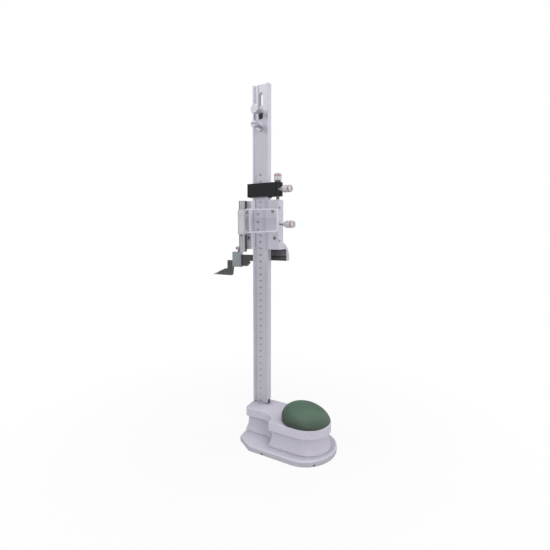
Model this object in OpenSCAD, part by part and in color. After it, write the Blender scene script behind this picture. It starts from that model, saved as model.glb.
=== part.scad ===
// Vernier height gauge, 0 to 300 mm by 0.02 mm, with a magnifier on its slider.
// The origin lies under the beam's axis on the underside of the base. +X runs to the
// hand rest, -Y is the front where the scale is read, and +Z is up.
// The slider stands at a reading of 242.6 mm: the height of the scriber's tip.

/* [Base] */
// Height of the base's top face
base_h = 45; // [42:0.5:50]
// Depth of the base block, front to back
block_depth = 68.6; // [66:0.2:72]
// Beam axis to the back face of the block
block_back = 16.1; // [15:0.1:16.6]
// Beam axis to the front face of the block's narrow part
narrow_front = 29.5; // [26:0.5:34]
// Beam axis to the left end of the base
base_left = 15; // [14.2:0.1:20]
// Taper of the left end's front half, in degrees
left_taper = 8.5; // [0:0.5:12]
// Beam axis to the centre of the round right end
round_end_x = 89; // [84:0.5:110]
// Beam axis to the start of the hollow step between the narrow and the wide part
step_x = 22; // [18:0.5:30]
// Height of the lower edge of the band round the block
band_z = 32; // [30:0.5:36]
// Depth of the waist below the band
waist_depth = 3.8; // [2:0.1:5]
// Outward flare at the foot of the waist
flare = 0.6; // [0:0.1:1.5]
// Rounding of the block's upper edge
edge_r = 1.5; // [0.8:0.1:2.5]
// Rounding of the block's upright left corners
corner_r = 6; // [5.5:0.5:8]
// Thickness of the foot flange
flange_h = 8; // [6:0.5:10]
// Reach of the flange beyond the block's front face
flange_front = 12.5; // [8:0.5:16]
// Reach of the flange beyond the block's back face
flange_back = 14.7; // [8:0.5:18]
// Reach of the flange to the right of the round end's centre
flange_end = 41.5; // [38:0.5:46]
// Rounding of the flange's upper edge
flange_r = 2.2; // [1:0.1:3]
// Depth of the hollow under the base
hollow_depth = 4; // [2:0.5:5]

/* [Hand rest] */
// Height of the dome above the base, before it is tilted
dome_h = 21.2; // [18:0.2:26]
// Radius of the dome, before it is cut to the round end
dome_r = 36.5; // [34:0.1:38]
// Inset of the dome's rim from the side of the block
dome_inset = 0.4; // [0.2:0.1:2]
// Shift of the dome's middle towards the beam
dome_shift = 1; // [0:0.1:3]
// Tilt of the dome, in degrees, which brings its top nearer to the beam
dome_tilt = 15; // [0:1:20]

/* [Beam] */
// Width of the beam
beam_w = 27.2; // [26:0.1:29]
// Thickness of the beam
beam_t = 9.1; // [8.6:0.1:9.4]
// Height of the beam's top above the surface
beam_top = 530.4; // [526:0.2:540]
// Depth of the beam's tenon in the base
tenon_l = 20; // [15:0.5:24]
// Shoulder of the tenon at the beam's edges
tenon_shoulder = 4.6; // [3.5:0.1:5]
// Shoulder of the tenon at the beam's faces
tenon_cheek = 0.9; // [0.5:0.1:1.2]
// Width of the beam's flange left of the scale
left_flange = 2.6; // [1.5:0.1:4]
// Width of the beam's flange right of the scale
right_flange = 1; // [0.6:0.1:2]
// Depth of the groove that holds the scale
groove_d = 2.4; // [2:0.1:3]
// Width of the slot through the upper end of the beam
slot_w = 6.9; // [6:0.1:8]
// Beam's top to the slot's upper end
slot_drop = 10.9; // [8:0.1:16]
// Length of the slot
slot_l = 61.5; // [58:0.5:66]

/* [Main scale] */
// Thickness of the scale plate
scale_t = 1.9; // [1.5:0.1:2]
// Beam's top to the scale plate's upper end
scale_drop = 50.4; // [48:0.1:52]
// Free height below the scale plate, for setting its zero
scale_foot_gap = 2.6; // [2.5:0.1:4]
// Radius of the hanger, the boss on the scale's upper end
hanger_r = 6.6; // [5.5:0.1:7.5]
// Beam's top to the slotted screw that holds the hanger
lock_drop = 60.4; // [60:0.1:62]
// Beam's top to the thumb screw above the scale
thumb_drop = 38.7; // [36:0.1:40]
// Radius of the thumb screw's face
thumb_r = 6.3; // [5:0.1:7]
// Reach of the thumb screw's face in front of the beam's axis
thumb_reach = 20; // [16:0.5:24]

/* [Clamp block] */
// Gap between the slider and the clamp block
clamp_gap = 5.3; // [4.5:0.1:7]
// Height of the clamp block
clamp_h = 20.1; // [18:0.1:22]
// Beam axis to the left end of the clamp block
clamp_left = 21.7; // [19:0.1:25]
// Beam axis to the fine adjustment screw
fine_x = 28.2; // [27:0.1:30]
// Radius of the block's round right end
clamp_end_r = 7.3; // [6.8:0.1:8]
// Radius of the fine adjustment screw
fine_r = 2.3; // [2:0.1:2.4]

/* [Slider] */
// Height of the slider's lower end above the scriber's tip
slider_rise = 45.4; // [45.3:0.1:46.4]
// Length of the slider along the beam
slider_h = 73.5; // [72:0.1:74]
// Beam axis to the slider's left side
slider_left = 30.6; // [29:0.1:33]
// Beam axis to the slider's right side
slider_right = 33.5; // [33:0.1:36]
// Thickness of the plates on the slider's front
plate_t = 2.9; // [2.4:0.1:3.4]
// Thickness of the slider's back wall
back_t = 2.3; // [2:0.1:3]
// Thickness of the gib strips
gib_t = 1.5; // [1.2:0.1:1.8]
// Beam axis to the left edge of the vernier plate
vernier_left = 22.6; // [22:0.1:23]
// Beam axis to the sharp edge of the vernier plate
vernier_edge = 9.7; // [9:0.1:10.5]
// Width of the vernier plate's bevel
vernier_bevel = 4.8; // [4:0.1:6]
// Beam axis to the inner edge of the right front plate
window_right = 9.3; // [8:0.1:11]
// Width of the right front plate's bevel
window_bevel = 6.8; // [4:0.1:8]

/* [Jaw] */
// Height of the jaw arm's lower face above the scriber's tip
arm_rise = 25.3; // [24:0.1:26]
// Height of the jaw's arm
arm_h = 9.9; // [9:0.1:10.6]
// Beam axis to the arm's front face
arm_front = 17.5; // [17.2:0.1:18]
// Thickness of the arm where the clamp rides
arm_t = 5.5; // [5:0.1:6]
// Beam axis to the arm's left end
arm_left = 64; // [60:0.5:70]
// Beam axis to the left side of the cheek behind the slider
cheek_left = 8; // [2:0.5:14]
// Radius of the cheek's curved back
cheek_r = 24.4; // [24:0.1:26]

/* [Scriber] */
// Height of the scriber's tip, the reading of the gauge
reading = 242.6; // [5:0.02:295]
// Beam axis to the scriber's tip
scriber_reach = 112.3; // [108:0.1:118]
// Thickness of the scriber
scriber_t = 5.1; // [4.5:0.1:5.3]
// Height of the scriber's bar
scriber_bar_h = 8.5; // [8:0.1:9]
// Length of the carbide insert at the tip
insert_l = 10; // [8:0.5:12]
// Width of the scriber clamp's front plate
clamp_plate_w = 17.5; // [16:0.1:19]
// Thickness of the scriber clamp's front plate
clamp_plate_t = 3.4; // [3:0.1:3.6]
// Width of the ring behind the scriber clamp's front plate
ring_w = 9.5; // [8:0.1:12]
// Beam axis to the scriber clamp's screw
scriber_clamp_x = 59.05; // [57:0.05:60]

/* [Magnifier] */
// Beam axis to the rail's left edge
rail_left = 31.5; // [31:0.1:32.5]
// Width of the rail
rail_w = 9.2; // [8:0.1:9.6]
// Thickness of the rail
rail_t = 3; // [2.5:0.1:3.5]
// Depth of the spacer behind the rail
spacer_d = 5.5; // [5:0.1:7]
// Reach of the rail below the slider
rail_foot = 4; // [0:0.5:5]
// Height of the lens frame's lower edge above the slider's lower end
lens_rise = 24.3; // [23.5:0.1:26]
// Height of the lens frame at the holder
lens_h = 36.7; // [34:0.1:38]
// Length of the lens frame
lens_l = 58; // [54:0.5:60]
// Narrowing of the lens frame at its far end, above and below
lens_taper = 1.7; // [0:0.1:3]
// Width of the lens frame's rim
lens_rim = 2.2; // [1.8:0.1:3]
// Thickness of the lens frame
lens_frame_t = 4; // [3:0.1:5]
// Radius of the lens's curved face, a cylinder that lies across the beam
lens_r = 52; // [46:1:140]

/* [Knobs] */
// Radius of the knobs on the side screws
knob_r = 5.35; // [4.8:0.05:5.6]
// Length of the knobs' straight part
knob_l = 12.7; // [12:0.1:17]
// Width of the coloured ring in each knob
ring_band = 1.3; // [1:0.1:1.6]
// Depth of the groove that holds the coloured ring
ring_d = 0.5; // [0.3:0.1:0.8]

/* [Fits] */
// Clearance of sliding faces, and of screws in their holes
gap = 0.05; // [0.03:0.01:0.08]

/* [Hidden] */
$fn = 48;

// A little more than nothing, for cuts that run past a face
over = 0.5;

// Base
block_front = block_depth - block_back;
block_r = block_depth / 2;
block_yc = block_back - block_r;
waist_z = band_z - 4.5;
flare_z = flange_h + 1.5;
step_r = block_front - narrow_front;
taper_start_y = -6;
flange_yf = -block_front - flange_front;
flange_yb = block_back + flange_back;
flange_yc = (flange_yf + flange_yb) / 2;
flange_ry = (flange_yb - flange_yf) / 2;
flange_cut_x = 34.3;
flange_cut_y = 17.7;

// Beam and scale
beam_hw = beam_w / 2;
beam_ht = beam_t / 2;
tenon_w = beam_w - 2 * tenon_shoulder;
tenon_t = beam_t - 2 * tenon_cheek;
groove_l = -beam_hw + left_flange;
groove_r = beam_hw - right_flange;
groove_floor = -beam_ht + groove_d;
slot_x = -0.35;
relief_w = 1.4;
relief_h = 8;
slot_top = beam_top - slot_drop;
scale_back = groove_floor - gap;
scale_front = scale_back - scale_t;
scale_top = beam_top - scale_drop;
scale_lock_z = beam_top - lock_drop;
scale_thumb_z = beam_top - thumb_drop;
hanger_t = 1.9;
hanger_front = scale_front - hanger_t;
scale_screw_r = 1.9;
nut_w = 10;
nut_h = 8;
nut_t = 3;
tongue_halves = [5.5, 8.3];

// Screws of the base
beam_screw_x = 5.8;
beam_screw_r = 2;
beam_screw_head_r = 3.4;
beam_screw_head_h = 4;
beam_screw_seat = 14;
beam_screw_l = 23;
beam_screw_top = beam_screw_seat + beam_screw_l;
rest_screw_r = 2.5;
rest_screw_head_r = 4.4;
rest_screw_head_h = 3;
rest_floor = 12;
rest_screw_seat = base_h - rest_floor;
rest_screw_l = 23;
rest_bore_l = rest_screw_seat + rest_screw_l - base_h;
rim_r = block_r - dome_inset;

// Heights of slider and clamp block
slider_z = reading + slider_rise;
slider_top = slider_z + slider_h;
slider_mid = slider_z + 37.3;
clamp_z = slider_top + clamp_gap;

// Channel round the beam in the clamp block and the slider
channel_l = -beam_hw - gap;
gib_l = beam_hw + gap;
gib_r = gib_l + gib_t;
channel_r = gib_r + gap;
channel_y = beam_ht + gap;
gib_y = beam_ht - 0.15;
face_y = -channel_y - plate_t;

// Clamp block and fine adjustment
clamp_top = clamp_z + clamp_h;
fine_y = face_y + clamp_end_r;
clamp_screw_z = clamp_z + 9.7;
clamp_screw_y = -4.5;
side_screw_r = 1.6;
side_tip_r = 1.2;
side_tip_l = 3;
gib_foot = 1.5;
collar_r = 4.2;
collar_h = 2;
spigot_r = 1.5;
spigot_l = 8;
clip_t = 0.8;
clip_r = 3.6;
fine_tip_z = slider_top - 6;
fine_bore_z = fine_tip_z - 3.3;
fine_knob_z = clamp_top + gap + collar_h + gap;
fine_knob_l = 11.6;
fine_knob_r = 5.5;
fine_ring_at = 7.2;
clamp_knob_x = fine_x + clamp_end_r - 0.3;
clamp_cone_l = 6.1;
clamp_ring_at = clamp_cone_l + 8.4;

// Slider
slider_back = channel_y + back_t;
set_screw_r = 1.45;
set_screw_y = -3.05;
set_screw_dz = 24.15;
set_screw_sink = 4;
lock_y = -2.7;
lock_knob_x = 39.3;
lock_cone_l = 5.6;
lock_ring_at = lock_cone_l + 7.6;
plate_screw_r = 1.25;
plate_head_r = 2.5;
plate_head_h = 1.4;
plate_screw_l = 8;
vernier_screw_x = -vernier_left + 3;
front_screw_x = slider_right - 6.6;
plate_screw_zs = [slider_z + 17, slider_z + 55];
rail_screw_zs = [slider_z + 21.3, slider_z + 50];
rail_head_r = 1.9;

// Jaw
cheek_y = 1.4;
cheek_z = slider_z - 13.6;
cheek_back = cheek_y + cheek_r;
cheek_bottom = slider_z - 17.8;
cheek_front = 17.2;
cheek_groove_z = slider_z - 11.6;
cheek_groove_w = 0.8;
jaw_screw_xs = [19, 29];
jaw_screw_z = slider_z + 4.9;
jaw_screw_r = 1.5;
jaw_screw_head_r = 2.7;
jaw_screw_head_h = 3;
jaw_screw_seat = slider_back + 4;
jaw_screw_l = 10;

// Scriber and its clamp
arm_bottom = reading + arm_rise;
arm_top = arm_bottom + arm_h;
bar_top = arm_bottom - 0.1;
bar_bottom = bar_top - scriber_bar_h;
scriber_back = arm_front + scriber_t;
ring_gap = 0.1;
ring_top_t = 4.5;
ring_bottom_t = 1.7;
ring_back_t = 2.4;
ring_inner_top = arm_top + 0.2;
ring_top = ring_inner_top + ring_top_t;
ring_inner_bottom = bar_bottom - ring_gap;
ring_bottom = ring_inner_bottom - ring_bottom_t;
ring_inner_back = arm_front + arm_t + ring_gap;
clamp_plate_back = arm_front - ring_gap;
scriber_screw_y = arm_front + arm_t / 2;
scriber_screw_r = 1.5;
scriber_knob_z = ring_top + 3.5;
scriber_knob_h = 5.4;
scriber_knob_r = 5.3;
scriber_ring_at = 2.4;
scriber_bore_l = 3.5;

blade_h = 11.1;
slope_l = 26;
leg_l = 81.1;
insert_x = -scriber_reach + insert_l;
insert_top_x = insert_x + 4;
heel_x = -74;
inner_leg_x = -70.2;
bar_end_x = -42;
bar_nose = 5.6;

// Magnifier
rail_l = -rail_left;
rail_r = rail_l + rail_w;
rail_z = slider_z - rail_foot;
rail_back = face_y - spacer_d;
rail_front = rail_back - rail_t;
rail_lip = 0.9;
rail_screw_x = rail_l + rail_w / 2;
rail_screw_l = 17;
holder_gap = 0.1;
holder_wall = 1.2;
holder_t = 4.4;
holder_chamfer = 3.1;
holder_front = rail_front - holder_gap - holder_t;
lens_z = slider_z + lens_rise;
holder_z = lens_z - 1.8;
holder_h = 37.2;
lens_x = -17;
lens_front = -21.5;
lens_back = lens_front + lens_frame_t;
lens_lip = 0.6;

// Points of an outline whose corners are rounded by arcs of radius r
function unit(v) = v / norm(v);
function turn(a, b) = a[0] * b[1] - a[1] * b[0];
function corner_arc(a, p, b, r, n = 6) =
    let (
        u = unit(a - p),
        w = unit(b - p),
        half = acos(u * w) / 2,
        c = p + unit(u + w) * r / sin(half),
        s = p + u * r / tan(half) - c,
        a0 = atan2(s[1], s[0]),
        way = turn(p - a, b - p) > 0 ? 1 : -1
    )
    [for (i = [0:n]) let (t = a0 + way * (180 - 2 * half) * i / n) c + r * [cos(t), sin(t)]];
function rounded(pts, r) =
    let (k = len(pts))
    [for (i = [0:k - 1]) each corner_arc(pts[(i + k - 1) % k], pts[i], pts[(i + 1) % k], r)];

// Left end of the base at a place in front of the beam
function left_x(y) = -base_left + tan(left_taper) * (taper_start_y - y);
// Side of the block from its upper edge down, as pairs of inset and height
function block_side() = concat(
    [for (a = [90:-18:0]) [edge_r * (1 - cos(a)), base_h - edge_r * (1 - sin(a))]],
    [[0, band_z]],
    [for (a = [0:30:90]) [waist_depth * (0.6 + 0.4 * sin(a)), waist_z + (band_z - 0.8 - waist_z) * cos(a)]],
    [for (i = [1:8]) let (t = i / 8)
        [waist_depth - (waist_depth + flare) * t * t, waist_z + (flare_z - waist_z) * t]],
    [[-flare, flange_h - 1]]
);
// Side of the flange from its upper edge down
function flange_side() = concat(
    [for (a = [90:-18:0]) [flange_r * (1 - cos(a)), flange_h - flange_r * (1 - sin(a))]],
    [[0, 0]]
);

function heading(a, b) = (atan2(b[1] - a[1], b[0] - a[0]) + 360) % 360;
// Centre of the arc that rounds the corner p between a and b
function arc_centre(a, p, b, r) =
    let (u = unit(a - p), w = unit(b - p))
    p + unit(u + w) * r / sin(acos(u * w) / 2);
// Walls along an outline, as a point and a heading each, with n steps round each corner
function walls_along(pts, r, n) = [
    for (i = [0:len(pts) - 2]) each concat(
        [[pts[i], heading(pts[i], pts[i + 1])]],
        i == len(pts) - 2 ? [] : let (
            c = arc_centre(pts[i], pts[i + 1], pts[i + 2], r),
            h1 = heading(pts[i], pts[i + 1]),
            h2 = heading(pts[i + 1], pts[i + 2]),
            sweep = (h2 - h1 + 360) % 360
        )
        [for (k = [1:n - 1]) let (h = h1 + sweep * k / n) [c + r * [sin(h), -cos(h)], h]]
    )
];
// All that lies behind one wall, up to a reach well past the base
module behind_wall(wall, side) {
    reach = 300;
    translate([wall[0][0], wall[0][1], 0])
        rotate([0, 0, wall[1]])
            rotate([90, 0, 90])
                translate([0, 0, -reach])
                    linear_extrude(2 * reach)
                        polygon(concat(side, [[reach, side[len(side) - 1][1]], [reach, side[0][1]]]));
}
// A left end whose walls follow an outline from the back to the front, up to x
module left_end(outline, r, n, side, x) {
    foot = side[len(side) - 1][1];
    intersection() {
        translate([-100, -100, foot]) cube([100 + x, 200, side[0][1] - foot]);
        intersection_for (wall = walls_along(outline, r, n)) behind_wall(wall, side);
    }
}
// A round right end, a half turn about the origin
module round_end(side, r) {
    rotate([0, 0, -90])
        rotate_extrude(angle = 180, $fn = 180)
            polygon(concat(
                [[0, side[0][1]]], [for (p = side) [r - p[0], p[1]]], [[0, side[len(side) - 1][1]]]
            ));
}

// Places for turned pieces, which are drawn along +Z
module along_x(at) translate(at) rotate([0, 90, 0]) children();
module along_front(at) translate(at) rotate([90, 0, 0]) children();
module along_back(at) translate(at) rotate([-90, 0, 0]) children();

// A knob with a cone at its neck, a groove for the ring, a rounded end and a blind bore
module knob(neck_r, cone_l, r, l, ring_at, bore_r, bore_l) {
    end_r = 2.2;
    rotate_extrude() polygon(concat(
        [[bore_r, 0], [neck_r, 0], [r, cone_l], [r, ring_at], [r - ring_d, ring_at],
            [r - ring_d, ring_at + ring_band], [r, ring_at + ring_band]],
        [for (a = [0:18:90]) [r - end_r * (1 - cos(a)), cone_l + l - end_r * (1 - sin(a))]],
        [[0, cone_l + l], [0, bore_l], [bore_r, bore_l]]
    ));
}
module knob_ring(r, ring_at) {
    translate([0, 0, ring_at])
        difference() {
            cylinder(r = r - 0.1, h = ring_band);
            translate([0, 0, -over]) cylinder(r = r - ring_d, h = ring_band + 2 * over);
        }
}

module flange() {
    cut_yf = flange_yf + flange_cut_y;
    outline = [
        [round_end_x, flange_yb], [flange_cut_x - base_left, flange_yb],
        [-base_left, flange_yb - flange_cut_y], [-base_left, taper_start_y],
        [left_x(cut_yf), cut_yf], [flange_cut_x - base_left, flange_yf], [round_end_x, flange_yf]
    ];
    left_end(outline, 2 * flange_r, 2, flange_side(), round_end_x);
    translate([round_end_x, flange_yc, 0])
        scale([flange_end / flange_ry, 1, 1]) round_end(flange_side(), flange_ry);
}

module block() {
    side = block_side();
    outline = [
        [0, block_back], [-base_left, block_back], [-base_left, taper_start_y],
        [left_x(-narrow_front), -narrow_front], [0, -narrow_front]
    ];
    difference() {
        translate([0, block_yc, 0])
            rotate([90, 0, 90])
                linear_extrude(round_end_x)
                    polygon(concat(
                        [for (p = side) [p[0] - block_r, p[1]]],
                        [for (i = [len(side) - 1:-1:0]) [block_r - side[i][0], side[i][1]]]
                    ));
        step_cut();
    }
    translate([round_end_x, block_yc, 0]) round_end(side, block_r);
    left_end(outline, corner_r, 4, side, 0);
}

// The air before the narrow part, with the hollow quarter round that leads to the wide part
module step_cut() {
    side = concat([[edge_r, base_h + over]], block_side());
    foot = side[len(side) - 1][1];
    translate([step_x, -block_front, 0])
        rotate([0, 0, -90])
            rotate_extrude(angle = 180, $fn = 180)
                polygon(concat(
                    [[0, base_h + over]], [for (p = side) [step_r + p[0], p[1]]], [[0, foot]]
                ));
    translate([-over, -block_front, 0])
        rotate([90, 0, 90])
            linear_extrude(step_x + over)
                polygon(concat(
                    [[-step_r, base_h + over]], [for (p = side) [step_r + p[0], p[1]]], [[-step_r, foot]]
                ));
}

module base() {
    color([0.73, 0.72, 0.77])
        difference() {
            union() {
                flange();
                block();
            }
            translate([-tenon_w / 2 - gap, -tenon_t / 2 - gap, base_h - tenon_l])
                cube([tenon_w + 2 * gap, tenon_t + 2 * gap, tenon_l + over]);
            for (s = [-1, 1]) translate([s * beam_screw_x, 0, -over]) {
                cylinder(r = beam_screw_r + gap, h = base_h);
                cylinder(r = beam_screw_head_r + 0.3, h = beam_screw_seat + over);
            }
            base_hollow();
            translate([round_end_x, block_yc, 0]) {
                cylinder(r = rest_screw_r + gap, h = base_h + over);
                cylinder(r = rest_screw_head_r + 1, h = rest_screw_seat);
            }
        }
}

// The hollow under the base, which leaves a rim to stand on
module base_hollow() {
    rim = 12;
    hollow_x = beam_hw + rim;
    hollow_r = flange_ry - rim;
    hollow_end_x = round_end_x + flange_end - rim - hollow_r;
    translate([0, 0, -over]) {
        translate([hollow_x, flange_yc - hollow_r, 0])
            cube([hollow_end_x - hollow_x, 2 * hollow_r, hollow_depth + over]);
        translate([hollow_end_x, flange_yc, 0])
            cylinder(r = hollow_r, h = hollow_depth + over);
    }
}

// A dome that reaches below its rim, so that it can be tilted and cut level
module hand_rest() {
    dome_side = concat(
        [for (a = [-45:5:90]) [dome_r * cos(a), dome_h * sin(a)]], [[0, -dome_h * sin(45)]]
    );
    color([0.24, 0.34, 0.27])
        translate([round_end_x, block_yc, base_h])
            difference() {
                intersection() {
                    union() {
                        cylinder(r = rim_r, h = 2 * dome_h, $fn = 96);
                        translate([-dome_r - 5, -rim_r, 0]) cube([dome_r + 5, 2 * rim_r, 2 * dome_h]);
                    }
                    translate([-dome_shift, 0, 0])
                        rotate([0, dome_tilt, 0]) rotate_extrude($fn = 96) polygon(dome_side);
                }
                translate([0, 0, -over])
                    cylinder(r = rest_screw_r + gap, h = rest_bore_l + 2 * over);
            }
}

module hand_rest_screw() {
    color([0.55, 0.55, 0.57])
        translate([round_end_x, block_yc, rest_screw_seat]) {
            cylinder(r = rest_screw_r, h = rest_screw_l);
            translate([0, 0, -rest_screw_head_h])
                difference() {
                    cylinder(r = rest_screw_head_r, h = rest_screw_head_h);
                    translate([0, 0, -over]) cylinder(r = 2.2, h = 2, $fn = 6);
                }
        }
}

module beam() {
    color([0.68, 0.67, 0.71])
        difference() {
            union() {
                translate([-beam_hw, -beam_ht, base_h]) cube([beam_w, beam_t, beam_top - base_h]);
                translate([-tenon_w / 2, -tenon_t / 2, base_h - tenon_l])
                    cube([tenon_w, tenon_t, tenon_l + over]);
            }
            translate([groove_l, -beam_ht - over, base_h])
                cube([groove_r - groove_l, groove_d + over, beam_top - base_h + over]);
            translate([slot_x, 0, slot_top - slot_w / 2]) slot_end();
            translate([slot_x, 0, slot_top - slot_l + slot_w / 2]) slot_end();
            translate([slot_x - slot_w / 2, -beam_ht, slot_top - slot_l + slot_w / 2])
                cube([slot_w, beam_t + over, slot_l - slot_w]);
            translate([beam_hw - relief_w, -beam_ht - over, base_h])
                cube([relief_w + over, beam_t + 2 * over, relief_h]);
            for (s = [-1, 1]) translate([s * beam_screw_x, 0, base_h - tenon_l - over])
                cylinder(r = beam_screw_r + gap, h = beam_screw_top - base_h + tenon_l + 2 * over);
        }
}
module slot_end() {
    rotate([-90, 0, 0]) translate([0, 0, -beam_ht]) cylinder(r = slot_w / 2, h = beam_t + over);
}

module beam_screws() {
    color([0.55, 0.55, 0.57])
        for (s = [-1, 1]) translate([s * beam_screw_x, 0, beam_screw_seat]) {
            cylinder(r = beam_screw_r, h = beam_screw_l);
            translate([0, 0, -beam_screw_head_h])
                difference() {
                    cylinder(r = beam_screw_head_r, h = beam_screw_head_h);
                    translate([0, 0, -over]) cylinder(r = 1.7, h = 2.5, $fn = 6);
                }
        }
}

module main_scale() {
    z0 = base_h + scale_foot_gap;
    color([0.62, 0.61, 0.66])
        difference() {
            translate([groove_l + gap, scale_front, z0])
                cube([groove_r - groove_l - 2 * gap, scale_t, scale_top - z0]);
            along_back([slot_x, scale_front - over, scale_lock_z])
                cylinder(r = scale_screw_r + gap, h = scale_t + 2 * over);
        }
}

// The round boss on the plate's upper end, which hangs the plate on its screw
module scale_hanger() {
    bevel = 0.4;
    color([0.6, 0.59, 0.63])
        along_front([slot_x, scale_front, scale_lock_z])
            rotate_extrude() polygon([
                [scale_screw_r + gap, 0], [hanger_r, 0], [hanger_r, hanger_t - bevel],
                [hanger_r - bevel, hanger_t], [scale_screw_r + gap, hanger_t]
            ]);
}

// Nuts behind the beam, each with a tongue in the slot that keeps it from turning
module scale_nuts() {
    tongue_w = slot_w - 4 * gap;
    color([0.55, 0.55, 0.57])
        for (i = [0, 1]) {
            z = [scale_lock_z, scale_thumb_z][i];
            half = tongue_halves[i];
            difference() {
                union() {
                    translate([slot_x - nut_w / 2, beam_ht + gap, z - nut_h / 2]) cube([nut_w, nut_t, nut_h]);
                    translate([slot_x - tongue_w / 2, groove_floor + gap, z - half])
                        cube([tongue_w, beam_ht - groove_floor + over, 2 * half]);
                }
                along_back([slot_x, -over + groove_floor, z])
                    cylinder(r = scale_screw_r + gap, h = 2 * beam_t);
            }
        }
}

// A conical screw head before the face at y, with its threaded shank behind it
module cone_screw(z, y, face_r, reach, rim, neck_r) {
    head_l = reach + y;
    along_front([slot_x, y, z])
        rotate_extrude() polygon([
            [0, 0], [neck_r, 0], [face_r - 0.4, head_l - rim], [face_r, head_l - rim + 0.4],
            [face_r, head_l - 0.5], [face_r - 0.5, head_l], [0, head_l]
        ]);
    along_back([slot_x, y - over, z]) cylinder(r = scale_screw_r, h = beam_ht + nut_t - y + over);
}

module scale_thumb_screw() {
    color([0.7, 0.69, 0.74])
        cone_screw(scale_thumb_z, groove_floor - gap, thumb_r, thumb_reach, 2.2, 3.9);
}

module scale_lock_screw() {
    lock_reach = thumb_reach + 2.5;
    slot_cut = 1.2;
    color([0.72, 0.71, 0.76])
        difference() {
            cone_screw(scale_lock_z, hanger_front - gap, 4.7, lock_reach, 4.5, 2.5);
            translate([slot_x - 6, -lock_reach - over, scale_lock_z - slot_cut / 2])
                cube([12, 1.6 + over, slot_cut]);
        }
}

module clamp_block() {
    color([0.13, 0.13, 0.14])
        difference() {
            union() {
                translate([-clamp_left, face_y, clamp_z])
                    cube([clamp_left + fine_x, 2 * clamp_end_r, clamp_h]);
                translate([fine_x, fine_y, clamp_z]) cylinder(r = clamp_end_r, h = clamp_h);
            }
            translate([channel_l, -channel_y, clamp_z - over])
                cube([channel_r - channel_l, 2 * channel_y, clamp_h + 2 * over]);
            translate([fine_x, fine_y, clamp_z - over]) cylinder(r = fine_r + gap, h = clamp_h + 2 * over);
            along_x([channel_r - over, clamp_screw_y, clamp_screw_z])
                cylinder(r = side_screw_r + gap, h = 2 * clamp_end_r + fine_x - channel_r);
        }
}

module clamp_gib() {
    color([0.16, 0.15, 0.16])
        translate([gib_l, -gib_y, clamp_z - gib_foot]) cube([gib_t, 2 * gib_y, clamp_h + gib_foot - over]);
}

// A side screw from the gib to its knob, with a spigot that the knob is pressed on
module side_screw(y, z, knob_x) {
    along_x([gib_r + gap, y, z]) {
        cylinder(r = side_tip_r, h = side_tip_l);
        translate([0, 0, side_tip_l]) cylinder(r = side_screw_r, h = knob_x - gib_r - gap - side_tip_l);
        translate([0, 0, knob_x - gib_r - gap]) cylinder(r = side_tip_r, h = spigot_l);
    }
}

module clamp_screw() {
    color([0.55, 0.55, 0.57]) side_screw(clamp_screw_y, clamp_screw_z, clamp_knob_x);
}
module clamp_knob() {
    color([0.8, 0.8, 0.83])
        along_x([clamp_knob_x, clamp_screw_y, clamp_screw_z])
            knob(2, clamp_cone_l, knob_r, knob_l, clamp_ring_at, side_tip_r, spigot_l);
}
module clamp_knob_ring() {
    color([0.72, 0.36, 0.37])
        along_x([clamp_knob_x, clamp_screw_y, clamp_screw_z]) knob_ring(knob_r, clamp_ring_at);
}

module fine_adjust_screw() {
    groove_w = clip_t + 0.05;
    clip_z = clamp_z - gap - groove_w;
    color([0.3, 0.29, 0.3])
        translate([fine_x, fine_y, 0])
            difference() {
                union() {
                    translate([0, 0, fine_tip_z]) cylinder(r = fine_r, h = clamp_top + gap - fine_tip_z);
                    translate([0, 0, clamp_top + gap]) cylinder(r = collar_r, h = collar_h);
                    translate([0, 0, clamp_top + gap + collar_h]) cylinder(r = spigot_r, h = spigot_l);
                }
                translate([0, 0, clip_z])
                    difference() {
                        cylinder(r = fine_r + over, h = groove_w);
                        translate([0, 0, -over]) cylinder(r = fine_r - 0.5, h = groove_w + 2 * over);
                    }
            }
}

// The open ring that keeps the screw from rising out of the clamp block
module fine_screw_clip() {
    color([0.5, 0.5, 0.52])
        translate([fine_x, fine_y, clamp_z - gap - clip_t])
            difference() {
                cylinder(r = clip_r, h = clip_t);
                translate([0, 0, -over]) cylinder(r = fine_r - 0.5, h = clip_t + 2 * over);
                translate([-1.4, 0, -over]) cube([2.8, clip_r + over, clip_t + 2 * over]);
            }
}

module fine_adjust_knob() {
    color([0.8, 0.8, 0.83])
        translate([fine_x, fine_y, fine_knob_z])
            knob(fine_knob_r - 0.5, 0.5, fine_knob_r, fine_knob_l - 0.5, fine_ring_at, spigot_r, spigot_l);
}
module fine_knob_ring() {
    color([0.72, 0.36, 0.37]) translate([fine_x, fine_y, fine_knob_z]) knob_ring(fine_knob_r, fine_ring_at);
}

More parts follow.
